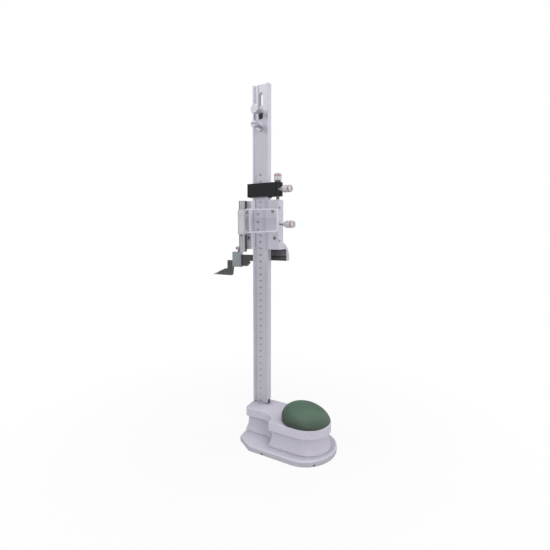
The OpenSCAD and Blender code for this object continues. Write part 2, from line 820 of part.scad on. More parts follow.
module slider_body() {
    section = [
        [-slider_left, face_y], [-vernier_left, face_y], [-vernier_left, -channel_y],
        [channel_l, -channel_y], [channel_l, channel_y], [channel_r, channel_y],
        [channel_r, -channel_y], [slider_right, -channel_y], [slider_right, slider_back],
        [-slider_left, slider_back]
    ];
    color([0.72, 0.71, 0.76])
        difference() {
            translate([0, 0, slider_z]) linear_extrude(slider_h) polygon(section);
            for (s = [-1, 1])
                along_x([channel_r - over, set_screw_y, slider_mid + s * set_screw_dz])
                    cylinder(r = set_screw_r + gap, h = slider_right - channel_r + 2 * over);
            along_x([channel_r - over, lock_y, slider_mid])
                cylinder(r = side_screw_r + gap, h = slider_right - channel_r + 2 * over);
            translate([fine_x, fine_y, fine_bore_z])
                cylinder(r = fine_r + gap, h = slider_top - fine_bore_z + over);
            for (z = plate_screw_zs)
                for (x = [vernier_screw_x, front_screw_x])
                    along_back([x, -channel_y - over, z])
                        cylinder(r = plate_screw_r + gap, h = plate_screw_l - plate_t + 2 * over);
            for (x = jaw_screw_xs)
                along_front([x, slider_back + over, jaw_screw_z])
                    cylinder(r = jaw_screw_r + gap, h = jaw_screw_l - 4 + 2 * over);
            for (z = rail_screw_zs)
                along_back([rail_screw_x, face_y - over, z])
                    cylinder(r = plate_screw_r + gap, h = rail_screw_l - rail_t - spacer_d + 2 * over);
        }
}

module slider_gib() {
    color([0.6, 0.59, 0.63])
        translate([gib_l, -gib_y, slider_z + over]) cube([gib_t, 2 * gib_y, slider_h - 2 * over]);
}

module gib_set_screws() {
    screw_l = slider_right - set_screw_sink - gib_r;
    color([0.35, 0.34, 0.36])
        for (s = [-1, 1])
            along_x([gib_r, set_screw_y, slider_mid + s * set_screw_dz])
                difference() {
                    cylinder(r = set_screw_r, h = screw_l);
                    translate([0, 0, screw_l - 2]) cylinder(r = 0.85, h = 2 + over, $fn = 6);
                }
}

// A screw with a cross-slotted cheese head, along +Z with its head at the origin
module cross_screw(head_r, l) {
    cross_w = 0.6;
    cross_d = 0.7;
    difference() {
        union() {
            cylinder(r = head_r, h = plate_head_h);
            cylinder(r = plate_screw_r, h = l);
        }
        for (a = [45, 135]) rotate([0, 0, a])
            translate([-head_r * 0.7, -cross_w / 2, -over])
                cube([head_r * 1.4, cross_w, cross_d + over]);
    }
}
module screw_hole(head_r, l) {
    translate([0, 0, -over]) {
        cylinder(r = head_r + 0.1, h = plate_head_h + over);
        cylinder(r = plate_screw_r + gap, h = l + 2 * over);
    }
}

module vernier_plate() {
    edge_t = 0.25;
    section = [
        [-vernier_left + gap, face_y], [-vernier_edge - vernier_bevel, face_y],
        [-vernier_edge, -channel_y - edge_t], [-vernier_edge, -channel_y],
        [-vernier_left + gap, -channel_y]
    ];
    color([0.74, 0.73, 0.78])
        difference() {
            translate([0, 0, slider_z]) linear_extrude(slider_h) polygon(section);
            for (z = plate_screw_zs)
                along_back([vernier_screw_x, face_y, z]) screw_hole(plate_head_r, plate_t);
        }
}

module front_plate() {
    edge_t = 0.25;
    section = [
        [window_right, -channel_y], [window_right, -channel_y - edge_t],
        [window_right + window_bevel, face_y], [slider_right - 0.4, face_y],
        [slider_right, face_y + 0.4], [slider_right, -channel_y]
    ];
    color([0.74, 0.73, 0.78])
        difference() {
            translate([0, 0, slider_z]) linear_extrude(slider_h) polygon(section);
            for (z = plate_screw_zs)
                along_back([front_screw_x, face_y, z]) screw_hole(plate_head_r, plate_t);
        }
}

module plate_screws() {
    color([0.45, 0.4, 0.38])
        for (z = plate_screw_zs)
            for (x = [vernier_screw_x, front_screw_x])
                along_back([x, face_y, z]) cross_screw(plate_head_r, plate_screw_l);
}

// The cheek behind the slider carries an arm that passes behind the beam to the left
module jaw() {
    arc_end = acos((slider_back - cheek_y) / cheek_r);
    under = slider_z + 0.3;
    under_bevel = 2.4;
    cheek = concat(
        [[cheek_front, cheek_bottom], [cheek_back, cheek_bottom]],
        [for (i = [0:16]) let (a = arc_end * i / 16) [cheek_y + cheek_r * cos(a), cheek_z + cheek_r * sin(a)]],
        [[slider_back, under], [cheek_front - under_bevel, under], [cheek_front, under - under_bevel]]
    );
    joint_x = over - cheek_left;
    taper_x = joint_x - 12;
    plan = [
        [-arm_left, arm_front], [joint_x, arm_front], [joint_x, cheek_back],
        [taper_x + 8, cheek_back], [taper_x, arm_front + arm_t], [-arm_left, arm_front + arm_t]
    ];
    front_view = [
        [-arm_left, arm_bottom], [taper_x + 4, arm_bottom], [joint_x - over, cheek_bottom],
        [joint_x, cheek_bottom], [joint_x, arm_top + 6], [joint_x - 6, arm_top], [-arm_left, arm_top]
    ];
    color([0.2, 0.21, 0.2])
        difference() {
            union() {
                translate([-cheek_left, 0, 0])
                    rotate([90, 0, 90])
                        linear_extrude(slider_right + cheek_left) polygon(cheek);
                intersection() {
                    translate([0, 0, arm_bottom - over]) linear_extrude(20) polygon(plan);
                    along_front([0, cheek_back + over, 0]) linear_extrude(12) polygon(front_view);
                }
            }
            translate([-cheek_left, cheek_front - over, cheek_groove_z])
                cube([slider_right + cheek_left + over, cheek_groove_w + over, cheek_groove_w]);
            for (x = jaw_screw_xs) {
                along_front([x, jaw_screw_seat + 12, jaw_screw_z]) cylinder(r = jaw_screw_head_r + 0.2, h = 12);
                along_front([x, jaw_screw_seat + over, jaw_screw_z]) cylinder(r = jaw_screw_r + gap, h = 12);
            }
        }
}

module jaw_screws() {
    color([0.2, 0.2, 0.21])
        for (x = jaw_screw_xs) along_front([x, jaw_screw_seat, jaw_screw_z]) {
            cylinder(r = jaw_screw_r, h = jaw_screw_l);
            translate([0, 0, -jaw_screw_head_h])
                difference() {
                    cylinder(r = jaw_screw_head_r, h = jaw_screw_head_h);
                    translate([0, 0, -over]) cylinder(r = 1.4, h = 2, $fn = 6);
                }
        }
}

module magnifier_rail() {
    color([0.75, 0.74, 0.77])
        difference() {
            translate([rail_l, rail_front, rail_z]) cube([rail_w, rail_t, slider_top - rail_z]);
            for (z = rail_screw_zs)
                along_back([rail_screw_x, rail_front, z]) screw_hole(rail_head_r, rail_t);
        }
}

module rail_spacer() {
    color([0.12, 0.12, 0.13])
        difference() {
            translate([rail_l + rail_lip, rail_back, rail_z])
                cube([rail_w - 2 * rail_lip, spacer_d, slider_top - rail_z]);
            for (z = rail_screw_zs)
                along_back([rail_screw_x, rail_back - over, z])
                    cylinder(r = plate_screw_r + gap, h = spacer_d + 2 * over);
        }
}

module rail_screws() {
    color([0.3, 0.28, 0.28])
        for (z = rail_screw_zs)
            along_back([rail_screw_x, rail_front, z]) cross_screw(rail_head_r, rail_screw_l);
}

module lock_screw() {
    color([0.55, 0.55, 0.57]) side_screw(lock_y, slider_mid, lock_knob_x);
}
module lock_knob() {
    color([0.8, 0.8, 0.83])
        along_x([lock_knob_x, lock_y, slider_mid])
            knob(2, lock_cone_l, knob_r, knob_l, lock_ring_at, side_tip_r, spigot_l);
}
module lock_knob_ring() {
    color([0.72, 0.36, 0.37])
        along_x([lock_knob_x, lock_y, slider_mid]) knob_ring(knob_r, lock_ring_at);
}

// The holder hooks round the rail's edges and slides on it
module magnifier_holder() {
    hook_y = rail_back + holder_gap;
    hook_t = 1.2;
    inner_l = rail_l - holder_gap;
    inner_r = rail_r + holder_gap;
    section = [
        [inner_l - holder_wall, holder_front + holder_chamfer],
        [inner_l - holder_wall + holder_chamfer, holder_front],
        [lens_x, holder_front], [lens_x, lens_back], [inner_r + holder_wall, lens_back],
        [inner_r + holder_wall, hook_y + hook_t], [inner_r - rail_lip + holder_gap, hook_y + hook_t],
        [inner_r - rail_lip + holder_gap, hook_y], [inner_r, hook_y], [inner_r, rail_front - holder_gap],
        [inner_l, rail_front - holder_gap], [inner_l, hook_y], [inner_l + rail_lip - holder_gap, hook_y],
        [inner_l + rail_lip - holder_gap, hook_y + hook_t], [inner_l - holder_wall, hook_y + hook_t]
    ];
    color([0.85, 0.85, 0.88])
        translate([0, 0, holder_z]) linear_extrude(holder_h) polygon(section);
}

// Outline of the lens frame, inset by a rim
function lens_outline(inset, r) = rounded([
    [lens_x + inset, lens_z + inset],
    [lens_x + lens_l - inset, lens_z + lens_taper + inset],
    [lens_x + lens_l - inset, lens_z + lens_h - lens_taper - inset],
    [lens_x + inset, lens_z + lens_h - inset]
], r);

module magnifier_frame() {
    color([0.88, 0.88, 0.9])
        difference() {
            along_front([0, lens_back, 0]) linear_extrude(lens_frame_t) polygon(lens_outline(0, 4));
            along_front([0, lens_back + over, 0])
                linear_extrude(lens_frame_t + 2 * over) polygon(lens_outline(lens_rim, 3));
        }
}

module magnifier_lens() {
    lens_t = 4.6;
    color([0.9, 0.92, 0.95, 0.4])
        intersection() {
            along_front([0, lens_back - lens_lip, 0])
                linear_extrude(lens_t) polygon(lens_outline(lens_rim, 3));
            along_x([lens_x, lens_back - lens_lip - lens_t + lens_r, lens_z + lens_h / 2])
                cylinder(r = lens_r, h = lens_l, $fn = 300);
        }
}

module scriber_clamp() {
    plate_l = -scriber_clamp_x - clamp_plate_w / 2;
    ring_l = -scriber_clamp_x - ring_w / 2;
    ring_back = ring_inner_back + ring_back_t;
    bevel = 1.2;
    foot_bevel = 0.5;
    plate_front = clamp_plate_back - clamp_plate_t;
    side_view = [
        [plate_front, ring_bottom + foot_bevel], [plate_front + foot_bevel, ring_bottom],
        [clamp_plate_back, ring_bottom], [clamp_plate_back, ring_top],
        [plate_front + bevel, ring_top], [plate_front, ring_top - bevel]
    ];
    color([0.58, 0.62, 0.63])
        difference() {
            union() {
                translate([plate_l, 0, 0])
                    rotate([90, 0, 90]) linear_extrude(clamp_plate_w) polygon(side_view);
                translate([ring_l, clamp_plate_back - 1, ring_bottom])
                    cube([ring_w, ring_back - clamp_plate_back + 1, ring_top - ring_bottom]);
            }
            translate([ring_l - over, clamp_plate_back, ring_inner_bottom]) cube([
                ring_w + 2 * over, ring_inner_back - clamp_plate_back, ring_inner_top - ring_inner_bottom
            ]);
            translate([-scriber_clamp_x, scriber_screw_y, ring_inner_top - over])
                cylinder(r = scriber_screw_r + gap, h = ring_top_t + 2 * over);
        }
}

module scriber_clamp_screw() {
    tip_z = arm_top + gap;
    color([0.5, 0.5, 0.52])
        translate([-scriber_clamp_x, scriber_screw_y, tip_z])
            cylinder(r = scriber_screw_r, h = scriber_knob_z - tip_z + scriber_bore_l);
}
module scriber_clamp_knob() {
    color([0.8, 0.8, 0.83])
        translate([-scriber_clamp_x, scriber_screw_y, scriber_knob_z])
            knob(
                scriber_knob_r - 0.6, 0.6, scriber_knob_r, scriber_knob_h - 0.6,
                scriber_ring_at, scriber_screw_r, scriber_bore_l
            );
}
module scriber_knob_ring() {
    color([0.72, 0.36, 0.37])
        translate([-scriber_clamp_x, scriber_screw_y, scriber_knob_z])
            knob_ring(scriber_knob_r, scriber_ring_at);
}

// Height of the blade's upper slope, and the plan of its taper to the tip
function slope_z(x) = reading + (x + scriber_reach) * blade_h / slope_l;
module blade_plan() {
    narrow = 1.8;
    translate([0, 0, reading - over])
        linear_extrude(bar_top - reading + 2 * over)
            polygon([
                [-scriber_reach - over, arm_front], [0, arm_front], [0, scriber_back],
                [-leg_l - 2, scriber_back], [-scriber_reach - over, arm_front + narrow]
            ]);
}
// A bar, a leg down from it and a blade to the left
module scriber() {
    view = [
        [insert_x, reading], [heel_x, reading], [heel_x + 1.7, reading + 1.7], [inner_leg_x, bar_bottom],
        [bar_end_x, bar_bottom], [bar_end_x + bar_nose, bar_bottom + bar_nose], [bar_end_x + 2, bar_top],
        [-leg_l, bar_top], [-leg_l, reading + blade_h],
        [-scriber_reach + slope_l, reading + blade_h], [insert_top_x, slope_z(insert_top_x)]
    ];
    color([0.24, 0.25, 0.24])
        intersection() {
            along_front([0, scriber_back, 0]) linear_extrude(scriber_t) polygon(view);
            blade_plan();
        }
}
module scriber_tip() {
    view = [[-scriber_reach, reading], [insert_x, reading], [insert_top_x, slope_z(insert_top_x)]];
    color([0.5, 0.5, 0.5])
        intersection() {
            along_front([0, scriber_back, 0]) linear_extrude(scriber_t) polygon(view);
            blade_plan();
        }
}

base();
hand_rest();
hand_rest_screw();
beam();
beam_screws();
main_scale();
scale_hanger();
scale_nuts();
scale_thumb_screw();
scale_lock_screw();
clamp_block();
clamp_gib();
clamp_screw();
clamp_knob();
clamp_knob_ring();
fine_adjust_screw();
fine_screw_clip();
fine_adjust_knob();
fine_knob_ring();
slider_body();
slider_gib();
gib_set_screws();
vernier_plate();
front_plate();
plate_screws();
jaw();
jaw_screws();
magnifier_rail();
rail_spacer();
rail_screws();
lock_screw();
lock_knob();
lock_knob_ring();
magnifier_holder();
magnifier_frame();
magnifier_lens();
scriber_clamp();
scriber_clamp_screw();
scriber_clamp_knob();
scriber_knob_ring();
scriber();
scriber_tip();
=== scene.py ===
"""Looks of the height gauge: materials, graduations, numbers, light and camera."""

import math

import bmesh
import bpy
from mathutils import Matrix, Vector


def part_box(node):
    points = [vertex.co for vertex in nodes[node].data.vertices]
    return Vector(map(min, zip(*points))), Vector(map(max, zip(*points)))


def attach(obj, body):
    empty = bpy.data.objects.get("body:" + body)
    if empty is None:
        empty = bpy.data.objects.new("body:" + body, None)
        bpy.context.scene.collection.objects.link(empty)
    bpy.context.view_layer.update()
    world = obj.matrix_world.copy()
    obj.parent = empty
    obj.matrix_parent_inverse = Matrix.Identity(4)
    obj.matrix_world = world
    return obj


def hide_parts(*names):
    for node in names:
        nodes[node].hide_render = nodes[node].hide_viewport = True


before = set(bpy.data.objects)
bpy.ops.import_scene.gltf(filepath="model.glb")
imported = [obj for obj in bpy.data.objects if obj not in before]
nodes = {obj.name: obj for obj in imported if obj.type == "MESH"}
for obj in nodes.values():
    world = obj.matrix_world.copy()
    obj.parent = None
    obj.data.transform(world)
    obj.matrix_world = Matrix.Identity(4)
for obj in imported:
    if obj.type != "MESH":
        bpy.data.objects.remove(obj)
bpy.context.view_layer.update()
MM = 0.001
scene = bpy.context.scene


# Places on the object, in millimetres

def low(name):
    """The left, front and lower sides of a node's box."""
    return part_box(name)[0] / MM


def high(name):
    """The right, rear and upper sides of a node's box."""
    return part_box(name)[1] / MM


def middle(name):
    return (low(name) + high(name)) / 2


# The scriber's tip stands at the reading, and the main scale's zero a little above the base
READING = low("scriber").z
SCALE_ZERO = 49.2

# The two gib screws in the slider's right face lie above and below their middle
SLIDER_RIGHT = high("slider_body").x
SET_SCREWS = middle("gib_set_screws")
SET_SCREW_R = 1.45
SET_SCREW_OFF = high("gib_set_screws").z - SET_SCREWS.z - SET_SCREW_R
SET_HOLE_R = 1.7

# The notch at the beam's foot and the strip left of its slot, both painted dark as shade
NOTCH_TOP = high("base").z + 8.1
NOTCH_LEFT = high("beam").x - 2.3
SLOT_SHADE_X = middle("scale_nuts").x - 3.95
SLOT_SHADE_HALF = 0.9
SLOT_SHADE_FOOT = high("main_scale").z

# The shade on the nuts under the upper screw
NUT_SHADE_Z = middle("scale_thumb_screw").z - 4.5
NUT_SHADE_HALF = 4.4

# Painted shade along the rail's left edge and a dark stripe along its middle, from its left side
RAIL_LEFT = low("magnifier_rail").x
RAIL_EDGE = (1.7, 2.4)
RAIL_STREAK = 5.6
RAIL_STREAK_HALF = (0.4, 0.9)

# The jaw's cheek: its groove and the seam under the slider, both with painted shadow, the painted light above
# the groove, and the ground right side
SLIDER_FOOT = low("slider_body").z
CHEEK_LEFT = -8.0
CHEEK_GROOVE_Z = SLIDER_FOOT - 11.2
CHEEK_GROOVE_HALF = 0.7
CHEEK_LIT_Z = SLIDER_FOOT - 11.0
CHEEK_SEAM_Z = SLIDER_FOOT - 1.8
JAW_RIGHT = high("jaw").x - 0.04

# The dome's foot, the painted shade round it from dark to none, and how fast that shade sinks to the right
# and the rear
DOME_FOOT = low("hand_rest").z
DOME_SHADE = (9.0, 27.0)
DOME_LEAN = 0.16

# Chips in the enamel: place and size
CHIPS = (((41.8, -64.6, 1.5), 2.0), ((116.8, -51.7, 1.5), 2.0))


# Node helpers

def new_material(name, rgb, metallic, rough, **sockets):
    """A material with a Principled shader."""
    m = bpy.data.materials.new(name)
    m.use_nodes = True
    b = m.node_tree.nodes["Principled BSDF"]
    b.inputs["Base Color"].default_value = (*rgb, 1)
    b.inputs["Metallic"].default_value = metallic
    b.inputs["Roughness"].default_value = rough
    for k, v in sockets.items():
        b.inputs[k.replace("_", " ")].default_value = v
    return m


def add(m, kind, **props):
    n = m.node_tree.nodes.new("ShaderNode" + kind)
    for k, v in props.items():
        setattr(n, k, v)
    return n


def link(m, a, b):
    m.node_tree.links.new(a, b)


def bsdf(m):
    return m.node_tree.nodes["Principled BSDF"]


def coords(m, scale=(1, 1, 1)):
    """Places on the object in millimetres, stretched by a scale."""
    t = add(m, "TexCoord")
    v = add(m, "Mapping")
    link(m, t.outputs["Object"], v.inputs["Vector"])
    v.inputs["Scale"].default_value = [1000 * s for s in scale]
    return v.outputs[0]


def places(m):
    """Across, depth and height on the object, in millimetres."""
    n = add(m, "SeparateXYZ")
    link(m, coords(m), n.inputs[0])
    return n.outputs


def noise(m, vector, scale=1.0, detail=3.0, rough=0.5):
    n = add(m, "TexNoise")
    link(m, vector, n.inputs["Vector"])
    n.inputs["Scale"].default_value = scale
    n.inputs["Detail"].default_value = detail
    n.inputs["Roughness"].default_value = rough
    return n.outputs["Fac"]


def maths(m, op, a, b=None):
    n = add(m, "Math", operation=op)
    for i, v in enumerate((a, b)):
        if v is None:
            continue
        if isinstance(v, (int, float)):
            n.inputs[i].default_value = v
        else:
            link(m, v, n.inputs[i])
    return n.outputs[0]


def span(m, value, lo, hi, to_lo=0.0, to_hi=1.0):
    n = add(m, "MapRange")
    link(m, value, n.inputs["Value"])
    for k, v in zip(("From Min", "From Max", "To Min", "To Max"), (lo, hi, to_lo, to_hi)):
        n.inputs[k].default_value = v
    return n.outputs[0]


def off_by(m, value, centre):
    """How far a value is from a centre, on either side."""
    return maths(m, "ABSOLUTE", maths(m, "SUBTRACT", value, centre))


def times(rgb, k):
    """A colour made darker or lighter."""
    return [min(1, c * k) for c in rgb]


def mix_colour(m, fac, a, b):
    n = add(m, "Mix", data_type="RGBA")
    link(m, fac, n.inputs[0])
    for i, v in ((6, a), (7, b)):
        if isinstance(v, (tuple, list)):
            n.inputs[i].default_value = (*v, 1)
        else:
            link(m, v, n.inputs[i])
    return n.outputs[2]


def colour(m, socket):
    link(m, socket, bsdf(m).inputs["Base Color"])


def roughen(m, socket):
    link(m, socket, bsdf(m).inputs["Roughness"])


def stain(m, mask, rgb):
    """A colour laid over the material's own where the mask is one."""
    own = bsdf(m).inputs["Base Color"].links[0].from_socket
    colour(m, mix_colour(m, mask, own, rgb))


def bump(m, height, distance, strength, edge):
    """Fine relief on the shader's normal, over edges softened by a small bevel, both in millimetres."""
    n = add(m, "Bump")
    n.inputs["Strength"].default_value = strength
    n.inputs["Distance"].default_value = distance * MM
    link(m, height, n.inputs["Height"])
    if edge:
        e = add(m, "Bevel", samples=4)
        e.inputs["Radius"].default_value = edge * MM
        link(m, e.outputs[0], n.inputs["Normal"])
    link(m, n.outputs[0], bsdf(m).inputs["Normal"])


def metal(name, rgb, rough, grain=(1, 1, 0.03), tone=0.1, metallic=1.0):
    """Ground metal with a grain: the small scale runs along it."""
    m = new_material(name, rgb, metallic, rough)
    fine = noise(m, coords(m, grain), 6.0, 4.0, 0.6)
    cloud = noise(m, coords(m, (0.03, 0.03, 0.03)))
    both = maths(m, "ADD", maths(m, "MULTIPLY", fine, 0.6), maths(m, "MULTIPLY", cloud, 0.4))
    colour(m, mix_colour(m, span(m, both, 0.35, 0.65), times(rgb, 1 - tone), times(rgb, 1 + tone)))
    roughen(m, span(m, both, 0.3, 0.7, rough - 0.06, rough + 0.06))
    bump(m, fine, 0.004, 1.0, 0.25)
    return m


def paint(nodes_in, m):
    for name in nodes_in:
        o = nodes[name]
        if o.data.materials:
            for i in range(len(o.data.materials)):
                o.data.materials[i] = m
        else:
            o.data.materials.append(m)


# Materials

def enamel():
    """Grey enamel over a casting: fine grain, pits, painted shade in its recesses and two small chips at its
    foot.
    """
    rgb = (0.60, 0.58, 0.66)
    m = new_material("grey_enamel", rgb, 0.0, 0.42, Coat_Weight=0.25, Coat_Roughness=0.3)
    grain = noise(m, coords(m), 1.1, 4.0, 0.6)
    pits = noise(m, coords(m), 0.45, 3.0, 0.6)
    cloud = noise(m, coords(m, (0.02, 0.02, 0.02)), 1.0, 4.0)
    tint = mix_colour(m, span(m, cloud, 0.35, 0.65), times(rgb, 0.93), times(rgb, 1.06))
    skin = mix_colour(m, span(m, grain, 0.3, 0.7), times(rgb, 0.82), tint)
    skin = mix_colour(m, span(m, pits, 0.28, 0.36, 1.0, 0.0), skin, times(rgb, 0.6))
    # Painted shade: darker where other surfaces come near, in the recesses
    recess_shade = add(m, "AmbientOcclusion", samples=6)
    recess_shade.inputs["Distance"].default_value = 30 * MM
    skin = mix_colour(m, span(m, recess_shade.outputs["AO"], 0.35, 0.95, 0.5, 0.0), skin, times(rgb, 0.3))
    for chip, size in CHIPS:
        away = add(m, "VectorMath", operation="DISTANCE")
        link(m, coords(m), away.inputs[0])
        away.inputs[1].default_value = chip
        ragged = maths(m, "ADD", away.outputs["Value"], maths(m, "MULTIPLY", grain, 1.2))
        skin = mix_colour(m, span(m, ragged, size, size + 0.5, 1.0, 0.0), skin, (0.07, 0.06, 0.06))
    colour(m, skin)
    roughen(m, span(m, grain, 0.3, 0.7, 0.36, 0.52))
    bump(m, grain, 0.12, 0.7, 0.6)
    return m


def dome_green():
    """Satin green, with painted shade round its foot, most at the front left."""
    rgb = (0.070, 0.125, 0.086)
    m = new_material("hand_rest_green", rgb, 0.0, 0.5, Specular_IOR_Level=0.35)
    grain = noise(m, coords(m), 0.9)
    cloud = noise(m, coords(m, (0.05, 0.05, 0.05)))
    colour(m, mix_colour(m, span(m, cloud, 0.35, 0.65), times(rgb, 0.92), times(rgb, 1.1)))
    x, y, z = places(m)
    # Painted shade, darker towards the dome's foot and its front left
    height = maths(m, "ADD", z, maths(m, "MULTIPLY", maths(m, "ADD", x, y), DOME_LEAN))
    dark, unshaded = (DOME_FOOT + w for w in DOME_SHADE)
    stain(m, span(m, height, dark, unshaded, 0.8, 0.0), (0.028, 0.032, 0.028))
    roughen(m, span(m, grain, 0.3, 0.7, 0.45, 0.56))
    bump(m, grain, 0.02, 0.5, 0)
    return m


def beam_steel():
    """Satin ground steel, with painted shade beside the slot and a brown painted shade inside the notch at
    the beam's foot.
    """
    rgb = (0.60, 0.585, 0.65)
    m = metal("beam_steel", rgb, 0.42, (1.5, 1.5, 0.04), metallic=0.6)
    x, y, z = places(m)
    # Painted shade beside the slot
    beside = maths(m, "LESS_THAN", off_by(m, x, SLOT_SHADE_X), SLOT_SHADE_HALF)
    above = maths(m, "GREATER_THAN", z, SLOT_SHADE_FOOT)
    stain(m, maths(m, "MULTIPLY", beside, above), times(rgb, 0.6))
    # Painted shade inside the notch at the beam's foot
    below = maths(m, "LESS_THAN", z, NOTCH_TOP)
    right = maths(m, "GREATER_THAN", x, NOTCH_LEFT)
    stain(m, maths(m, "MULTIPLY", below, right), (0.09, 0.07, 0.075))
    return m


def slider_steel():
    """Satin ground steel, with painted shade inside the two holes of the gib's screws."""
    m = metal("slider_steel", (0.6, 0.585, 0.65), 0.45, (1, 1, 0.06), metallic=0.6)
    x, y, z = places(m)
    # Painted shade on the walls of the screw holes
    inside = maths(m, "LESS_THAN", x, SLIDER_RIGHT - 0.05)
    across = maths(m, "POWER", maths(m, "SUBTRACT", y, SET_SCREWS.y), 2.0)
    up = maths(m, "POWER", maths(m, "SUBTRACT", off_by(m, z, SET_SCREWS.z), SET_SCREW_OFF), 2.0)
    round_hole = maths(m, "LESS_THAN", maths(m, "ADD", across, up), SET_HOLE_R ** 2)
    stain(m, maths(m, "MULTIPLY", inside, round_hole), (0.02, 0.019, 0.02))
    return m


def rail_steel():
    """Drawn steel with streaks along the rail, painted shade along its left edge and a brown stripe along its
    middle.
    """
    m = metal("rail_steel", (0.56, 0.54, 0.57), 0.42, (1.6, 1.0, 0.008), tone=0.2, metallic=0.6)
    x = places(m)[0]
    # Painted shade along the left edge, and a dark stripe along the middle
    edge = span(m, x, *(RAIL_LEFT + e for e in RAIL_EDGE), 0.8, 0.0)
    streak = span(m, off_by(m, x, RAIL_LEFT + RAIL_STREAK), *RAIL_STREAK_HALF, 0.4, 0.0)
    stain(m, maths(m, "MAXIMUM", edge, streak), (0.17, 0.14, 0.15))
    return m


def nut_steel():
    """Steel nuts, black in the shade under the upper screw."""
    m = metal("nut_steel", (0.5, 0.49, 0.53), 0.4, metallic=0.6)
    z = places(m)[2]
    stain(m, maths(m, "LESS_THAN", off_by(m, z, NUT_SHADE_Z), NUT_SHADE_HALF), (0.02, 0.018, 0.02))
    return m


def black_block():
    rgb = (0.009, 0.0085, 0.010)
    m = new_material("block_black", rgb, 0.0, 0.42, Specular_IOR_Level=0.25)
    grain = noise(m, coords(m), 1.4)
    colour(m, mix_colour(m, span(m, grain, 0.3, 0.7), rgb, times(rgb, 1.7)))
    roughen(m, span(m, grain, 0.3, 0.7, 0.32, 0.46))
    bump(m, grain, 0.02, 0.6, 0.35)
    return m


def jaw_oxide():
    """Black oxide, with painted light above the cheek's groove and painted shadow along the groove and under
    the slider, and bright on the side ground after blacking.
    """
    dark, bright = (0.065, 0.065, 0.063), (0.56, 0.54, 0.6)
    m = new_material("jaw_oxide", dark, 0.3, 0.42)
    x, y, z = places(m)
    fine = noise(m, coords(m, (1, 0.06, 1)), 4.0)
    shade = span(m, fine, 0.3, 0.7)
    cheek = maths(m, "GREATER_THAN", x, CHEEK_LEFT)
    upper = maths(m, "GREATER_THAN", z, CHEEK_LIT_Z)
    groove = maths(m, "LESS_THAN", off_by(m, z, CHEEK_GROOVE_Z), CHEEK_GROOVE_HALF)
    seam = maths(m, "GREATER_THAN", z, CHEEK_SEAM_Z)
    side = maths(m, "GREATER_THAN", x, JAW_RIGHT)
    skin = mix_colour(m, shade, dark, times(dark, 1.5))
    # Painted light on the cheek above its groove
    skin = mix_colour(m, maths(m, "MULTIPLY", upper, cheek), skin, (0.17, 0.16, 0.167))
    # Painted shadow along the groove and along the seam under the slider
    painted_shade = maths(m, "MULTIPLY", maths(m, "MAXIMUM", groove, seam), cheek)
    skin = mix_colour(m, painted_shade, skin, (0.02, 0.014, 0.016))
    colour(m, mix_colour(m, side, skin, mix_colour(m, shade, times(bright, 0.9), bright)))
    roughen(m, span(m, fine, 0.3, 0.7, 0.34, 0.48))
    bump(m, fine, 0.006, 1.0, 0.3)
    return m


def fluted(name, axis):
    """A turned knob with fine flutes round its axis, which is the middle of its node. The flutes are bumps,
    with painted shade in their troughs.
    """
    flutes, rgb, rough = 40, (0.82, 0.81, 0.86), 0.3
    m = new_material(name + "_flutes", rgb, 0.75, rough)
    place, centre = places(m), middle(name)
    a, b = (maths(m, "SUBTRACT", place[i], centre[i]) for i in range(3) if i != axis)
    wave = maths(m, "SINE", maths(m, "MULTIPLY", maths(m, "ARCTAN2", a, b), float(flutes)))
    worn = noise(m, coords(m, (0.3, 0.3, 0.3)))
    light = mix_colour(m, span(m, worn, 0.35, 0.65), times(rgb, 0.9), rgb)
    # Painted shade in the flutes' troughs
    colour(m, mix_colour(m, span(m, wave, -1, 1), times(rgb, 0.6), light))
    roughen(m, span(m, worn, 0.3, 0.7, rough - 0.05, rough + 0.08))
    bump(m, wave, 0.18, 0.8, 0.15)
    return m


def threaded(name, axis, rgb, pitch):
    """A screw whose thread is a fine wave along its axis, with painted shade in its grooves."""
    m = new_material(name, rgb, 1.0, 0.35)
    wave = maths(m, "SINE", maths(m, "MULTIPLY", places(m)[axis], 2 * math.pi / pitch))
    worn = noise(m, coords(m, (0.4, 0.4, 0.4)))
    # Painted shade in the thread's grooves
    colour(m, mix_colour(m, span(m, wave, -1, 1), times(rgb, 0.35), rgb))
    roughen(m, span(m, worn, 0.3, 0.7, 0.29, 0.43))
    bump(m, wave, 0.2, 0.8, 0)
    return m


def let_light_through(m, tint):
    """Shadow, diffuse and glossy rays pass straight through a clear piece, so what lies behind it is lit."""
    path = add(m, "LightPath")
    clear = add(m, "BsdfTransparent")
    clear.inputs["Color"].default_value = (*tint, 1)
    mixer = add(m, "MixShader")
    soft = maths(m, "MAXIMUM", path.outputs["Is Shadow Ray"], path.outputs["Is Diffuse Ray"])
    link(m, maths(m, "MAXIMUM", soft, path.outputs["Is Glossy Ray"]), mixer.inputs[0])
    link(m, bsdf(m).outputs[0], mixer.inputs[1])
    link(m, clear.outputs[0], mixer.inputs[2])
    link(m, mixer.outputs[0], m.node_tree.nodes["Material Output"].inputs["Surface"])


def clear_plastic():
    m = new_material("clear_plastic", (0.97, 0.96, 0.99), 0.0, 0.12, IOR=1.45, Transmission_Weight=0.6)
    cloud = noise(m, coords(m, (0.1, 0.1, 0.1)))
    colour(m, mix_colour(m, span(m, cloud, 0.3, 0.7), (0.93, 0.92, 0.96), (0.98, 0.97, 1.0)))
    roughen(m, span(m, cloud, 0.3, 0.7, 0.08, 0.2))
    bump(m, cloud, 0.01, 0.3, 0.4)
    let_light_through(m, (0.93, 0.93, 0.95))
    return m


